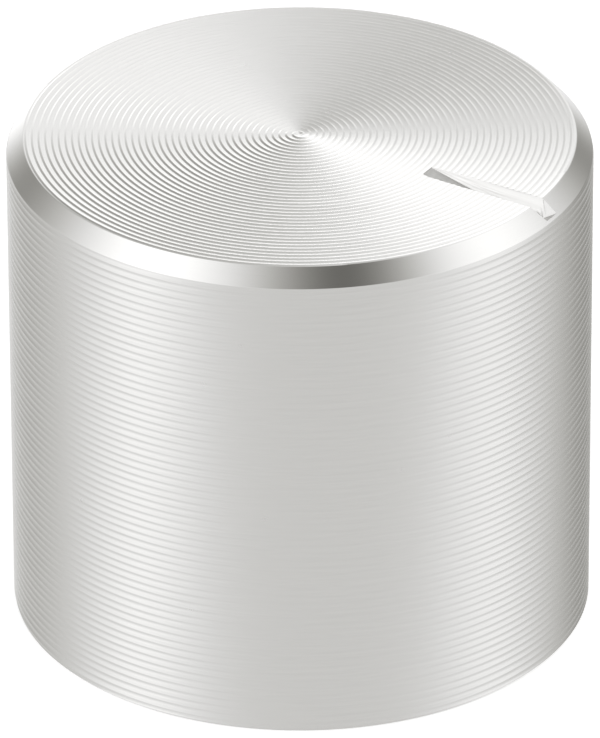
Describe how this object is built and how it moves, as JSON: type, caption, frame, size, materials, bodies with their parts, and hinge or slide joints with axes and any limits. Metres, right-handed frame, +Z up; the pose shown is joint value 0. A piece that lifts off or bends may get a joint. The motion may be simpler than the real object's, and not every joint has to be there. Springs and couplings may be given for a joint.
{
  "type": "control knob",
  "caption": "Turned metal control knob with a ringed face, a polished edge and a milled pointer notch, clamped to a round shaft by a set screw in its side.",
  "frame": {"origin": "on the shaft's axis, in the plane of the foot that stands on the panel", "axes": "+Z up the shaft's axis towards the ringed face, +X towards the pointer notch, -X towards the set screw"},
  "size_m": [0.022, 0.022, 0.0195],
  "materials": {
    "turned_aluminium": "bright turned, with a polished edge",
    "screw_steel": "plain stainless, as machined"
  },
  "bodies": {
    "root": {"knob_body": "turned_aluminium", "set_screw": "screw_steel"}
  },
  "joints": []
}
